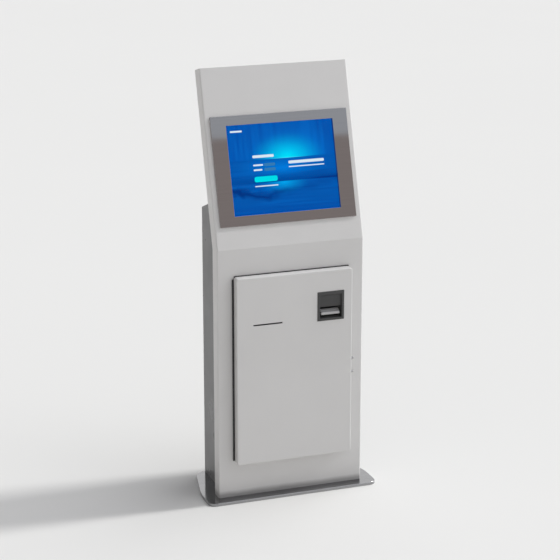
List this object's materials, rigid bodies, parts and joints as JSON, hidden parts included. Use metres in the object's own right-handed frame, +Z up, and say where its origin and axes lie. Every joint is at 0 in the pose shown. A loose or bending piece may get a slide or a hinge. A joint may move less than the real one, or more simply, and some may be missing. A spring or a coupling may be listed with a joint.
{
  "type": "self checkout kiosk",
  "caption": "Floor-standing payment kiosk with a leaning touch screen head, a hinged front door carrying a banknote acceptor and receipt printer, and a ventilated rear housing.",
  "frame": {"origin": "centre of the footprint on the floor, under the floor plate", "axes": "+Z up, the customer stands on the -Y side, +X to the right as the customer sees it"},
  "size_m": [0.612, 0.302, 1.4629],
  "materials": {
    "light_powder_coat": "fine textured powder coat, light warm grey",
    "dark_powder_coat": "fine textured powder coat, dark grey",
    "polished_plate": "polished stainless steel, nearly mirror bright",
    "brushed_bezel": "dark satin brushed stainless steel",
    "touch_glass": "clear polished glass",
    "display": "lit display panel",
    "zinc_steel": "zinc plated sheet steel",
    "bright_fastener": "bright nickel plate",
    "hinge_steel": "satin stainless steel",
    "lock_metal": "satin chrome plate",
    "black_plastic": "moulded, fine texture",
    "lip_plastic": "translucent light grey moulding",
    "black_metal": "black fine textured coat",
    "satin_button": "satin anodised",
    "red_plastic": "moulded",
    "white_plastic": "moulded",
    "circuit_board": "solder resist",
    "rubber": "extruded black rubber",
    "thermal_paper": "wound thermal paper"
  },
  "bodies": {
    "cabinet": {"base_plate": "polished_plate", "cable_grommet": "rubber", "front_fascia": "light_powder_coat", "door_opening_frame": "zinc_steel", "door_seal": "rubber", "cross_rail": "zinc_steel", "rear_housing": "dark_powder_coat", "head_rear_cover": "dark_powder_coat", "head_cover_screws": "bright_fastener", "screen_bezel": "brushed_bezel", "touch_glass": "touch_glass", "lcd_panel": "display", "monitor_chassis": "zinc_steel", "monitor_driver_box": "black_metal", "lcd_driver_board": "circuit_board", "monitor_rails": "zinc_steel", "fan_guard": "bright_fastener", "fan_frame": "black_plastic", "fan_screws": "bright_fastener", "mains_inlet": "black_plastic", "equipment_shelf": "zinc_steel", "pc_case": "black_metal", "power_supply": "zinc_steel", "power_strip": "white_plastic", "internal_leads": "rubber", "cabinet_screws": "bright_fastener", "hinge_fixed_leaf": "hinge_steel", "hinge_pin": "hinge_steel"},
    "door": {"door_skin": "light_powder_coat", "door_inner_panel": "zinc_steel", "hinge_moving_leaf": "hinge_steel", "lock_barrels": "lock_metal", "lock_nuts": "bright_fastener", "acceptor_bezel": "black_plastic", "acceptor_lip": "lip_plastic", "acceptor_body": "black_plastic", "cash_box_cradle": "zinc_steel", "printer_frame": "zinc_steel", "print_mechanism": "black_plastic", "paper_spindle": "white_plastic"},
    "lock_upper": {"lock_plug_upper": "lock_metal", "lock_cam_upper": "bright_fastener"},
    "lock_lower": {"lock_plug_lower": "lock_metal", "lock_cam_lower": "bright_fastener"},
    "cash_cassette": {"cash_box": "black_metal", "cash_box_lock": "lock_metal", "cash_box_handle": "black_plastic"},
    "paper": {"paper_roll": "thermal_paper"},
    "platen": {"platen_roller": "rubber"},
    "lid": {"printer_lid": "black_plastic"},
    "fan_blades": {"fan_rotor": "black_plastic"},
    "rocker_switch": {"mains_rocker": "red_plastic"},
    "power_button": {"pc_power_button": "satin_button"}
  },
  "joints": [
    {"name": "door_hinge", "type": "hinge", "parent": "cabinet", "child": "door", "pos_m": [-0.2073, -0.1116, 0.463], "axis": [0, 0, -1], "range_deg": [0, 100]},
    {"name": "lock_upper_turn", "type": "hinge", "parent": "door", "child": "lock_upper", "pos_m": [0.208, -0.1273, 0.468], "axis": [1, 0, 0], "range_deg": [0, 90]},
    {"name": "lock_lower_turn", "type": "hinge", "parent": "door", "child": "lock_lower", "pos_m": [0.208, -0.1273, 0.42], "axis": [1, 0, 0], "range_deg": [0, 90]},
    {"name": "cash_cassette_slide", "type": "slide", "parent": "door", "child": "cash_cassette", "axis": [0, 1, 0], "range_m": [0, 0.1]},
    {"name": "paper_spin", "type": "hinge", "parent": "door", "child": "paper", "pos_m": [-0.0945, -0.05, 0.664], "axis": [1, 0, 0], "continuous": true},
    {"name": "platen_spin", "type": "hinge", "parent": "door", "child": "platen", "pos_m": [-0.0945, -0.108, 0.6146], "axis": [1, 0, 0], "continuous": true},
    {"name": "printer_lid_hinge", "type": "hinge", "parent": "door", "child": "lid", "pos_m": [-0.0945, -0.096, 0.7145], "axis": [1, 0, 0], "range_deg": [0, 60]},
    {"name": "fan_spin", "type": "hinge", "parent": "cabinet", "child": "fan_blades", "pos_m": [-0.12, 0.13, 0.83], "axis": [0, 1, 0], "continuous": true},
    {"name": "rocker_tilt", "type": "hinge", "parent": "cabinet", "child": "rocker_switch", "pos_m": [0.164, 0.142, 0.085], "axis": [1, 0, 0], "range_deg": [0, 16]},
    {"name": "power_button_press", "type": "slide", "parent": "cabinet", "child": "power_button", "axis": [0, 1, 0], "range_m": [0, 0.002], "stiffness_N_per_m": 400, "springref_m": -0.0003}
  ],
  "couplings": [
    {"joint": "platen_spin", "follows": "paper_spin", "ratio": -5.2632}
  ]
}
